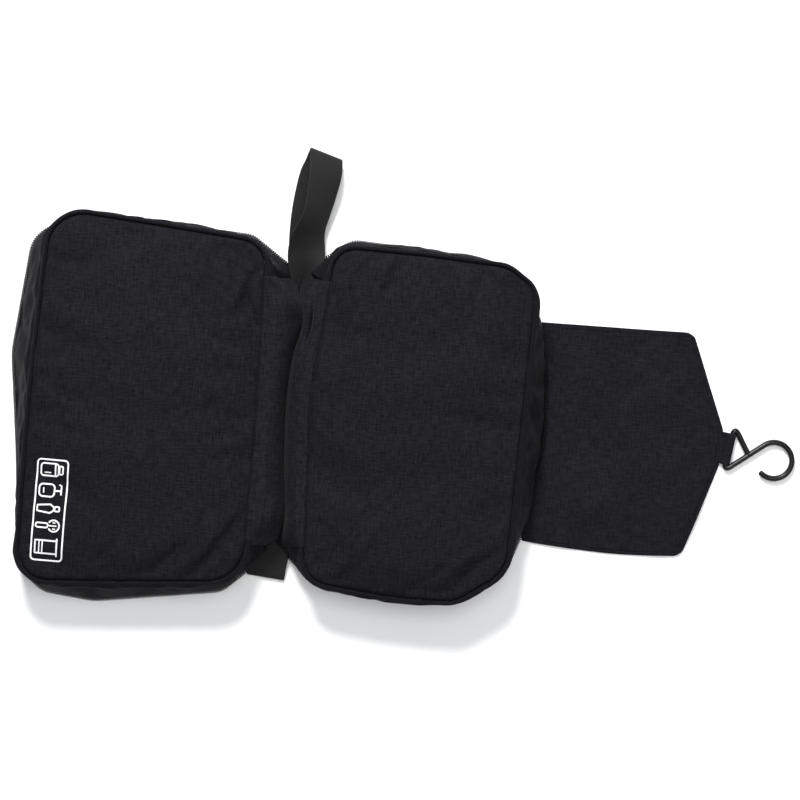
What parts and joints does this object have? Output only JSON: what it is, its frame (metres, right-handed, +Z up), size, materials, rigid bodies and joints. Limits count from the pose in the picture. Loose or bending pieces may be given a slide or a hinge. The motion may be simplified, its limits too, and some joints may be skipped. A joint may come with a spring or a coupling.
{
  "type": "hanging toiletry bag",
  "caption": "Soft zip-round toiletry bag opened out flat, with a fold-out flap, a swivelling wire hook, a carry handle and covered compartments.",
  "frame": {"origin": "under the middle of the whole opened bag, on the surface it lies on", "axes": "+X from the front half across the spine to the hook, +Y towards the carry handle, +Z up from the surface"},
  "size_m": [0.5268, 0.306, 0.0403],
  "materials": {
    "shell_cloth": "heathered woven polyester",
    "flap_cloth": "heathered woven polyester",
    "lining_cloth": "fine plain weave",
    "webbing": "ribbed webbing",
    "foam": "open-cell foam",
    "mesh": "knitted mesh",
    "clear_film": "clear film",
    "zip_tape": "woven tape",
    "zip_coil": "moulded coil",
    "zip_metal": "black lacquer",
    "hook_wire": "gloss black lacquer",
    "white_print": "flat transfer print"
  },
  "bodies": {
    "lower_half": {"spine_panel_lower": "shell_cloth", "lower_zip_tape": "zip_tape", "lower_gusset": "shell_cloth", "lower_zip_coil": "zip_coil", "lower_face_panel": "shell_cloth", "lower_foam": "foam", "lower_lining": "lining_cloth", "lower_pocket_frame": "lining_cloth", "lower_pocket_zip": "zip_coil", "icon_print": "white_print"},
    "upper_half": {"spine_panel_upper": "shell_cloth", "upper_zip_tape": "zip_tape", "upper_gusset": "shell_cloth", "upper_zip_coil": "zip_coil", "upper_face_panel": "shell_cloth", "upper_foam": "foam", "upper_lining": "lining_cloth", "upper_pocket_frame": "lining_cloth", "upper_pocket_zip": "zip_coil"},
    "spine": {"main_slider": "zip_metal", "end_tab": "webbing"},
    "handle": {"carry_handle": "webbing"},
    "main_puller": {"main_puller": "zip_metal"},
    "flap": {"hook_flap": "flap_cloth", "hook_flap_lining": "lining_cloth", "hook_loop": "webbing"},
    "hook": {"hook": "hook_wire"},
    "lower_cover": {"lower_mesh_cover": "mesh"},
    "upper_cover": {"upper_clear_cover": "clear_film"},
    "lower_slider": {"lower_pocket_slider": "zip_metal"},
    "upper_slider": {"upper_pocket_slider": "zip_metal"},
    "lower_puller": {"lower_pocket_puller": "zip_metal"},
    "upper_puller": {"upper_pocket_puller": "zip_metal"}
  },
  "joints": [
    {"name": "spine_fold", "type": "hinge", "parent": "lower_half", "child": "upper_half", "pos_m": [-0.08242, -0.028, -0.00015], "axis": [0, -1, 0], "range_deg": [-180, 0]},
    {"name": "spine_turn", "type": "hinge", "parent": "lower_half", "child": "spine", "pos_m": [-0.08242, -0.028, -0.00015], "axis": [0, -1, 0], "range_deg": [-90, 0]},
    {"name": "handle_swing", "type": "hinge", "parent": "spine", "child": "handle", "pos_m": [-0.08242, 0.063, 0.012], "axis": [1, 0, 0], "range_deg": [0, 90]},
    {"name": "main_puller_swing", "type": "hinge", "parent": "spine", "child": "main_puller", "pos_m": [-0.08242, 0.0844, 0.0032], "axis": [1, 0, 0], "range_deg": [-75, 8]},
    {"name": "flap_fold", "type": "hinge", "parent": "upper_half", "child": "flap", "pos_m": [0.09408, -0.028, 0.002], "axis": [0, -1, 0], "range_deg": [-180, 0]},
    {"name": "hook_swing", "type": "hinge", "parent": "flap", "child": "hook", "pos_m": [0.22098, -0.028, 0.0029], "axis": [-0.1392, -0.9903, 0], "range_deg": [-10, 120]},
    {"name": "lower_cover_swing", "type": "hinge", "parent": "lower_half", "child": "lower_cover", "pos_m": [-0.24642, -0.028, 0.0112], "axis": [0, 1, 0], "range_deg": [0, 100]},
    {"name": "lower_slider_run", "type": "slide", "parent": "lower_half", "child": "lower_slider", "axis": [0, 1, 0], "range_m": [0, 0.168]},
    {"name": "lower_puller_swing", "type": "hinge", "parent": "lower_slider", "child": "lower_puller", "pos_m": [-0.11642, -0.112, 0.0073], "axis": [-1, 0, 0], "range_deg": [0, 90]},
    {"name": "upper_cover_swing", "type": "hinge", "parent": "upper_half", "child": "upper_cover", "pos_m": [0.08158, -0.028, 0.0129], "axis": [0, -1, 0], "range_deg": [0, 100]},
    {"name": "upper_slider_run", "type": "slide", "parent": "upper_half", "child": "upper_slider", "axis": [0, 1, 0], "range_m": [0, 0.168]},
    {"name": "upper_puller_swing", "type": "hinge", "parent": "upper_slider", "child": "upper_puller", "pos_m": [-0.04842, -0.112, 0.009], "axis": [-1, 0, 0], "range_deg": [0, 90]}
  ],
  "couplings": [
    {"joint": "spine_turn", "follows": "spine_fold", "ratio": 0.5}
  ]
}
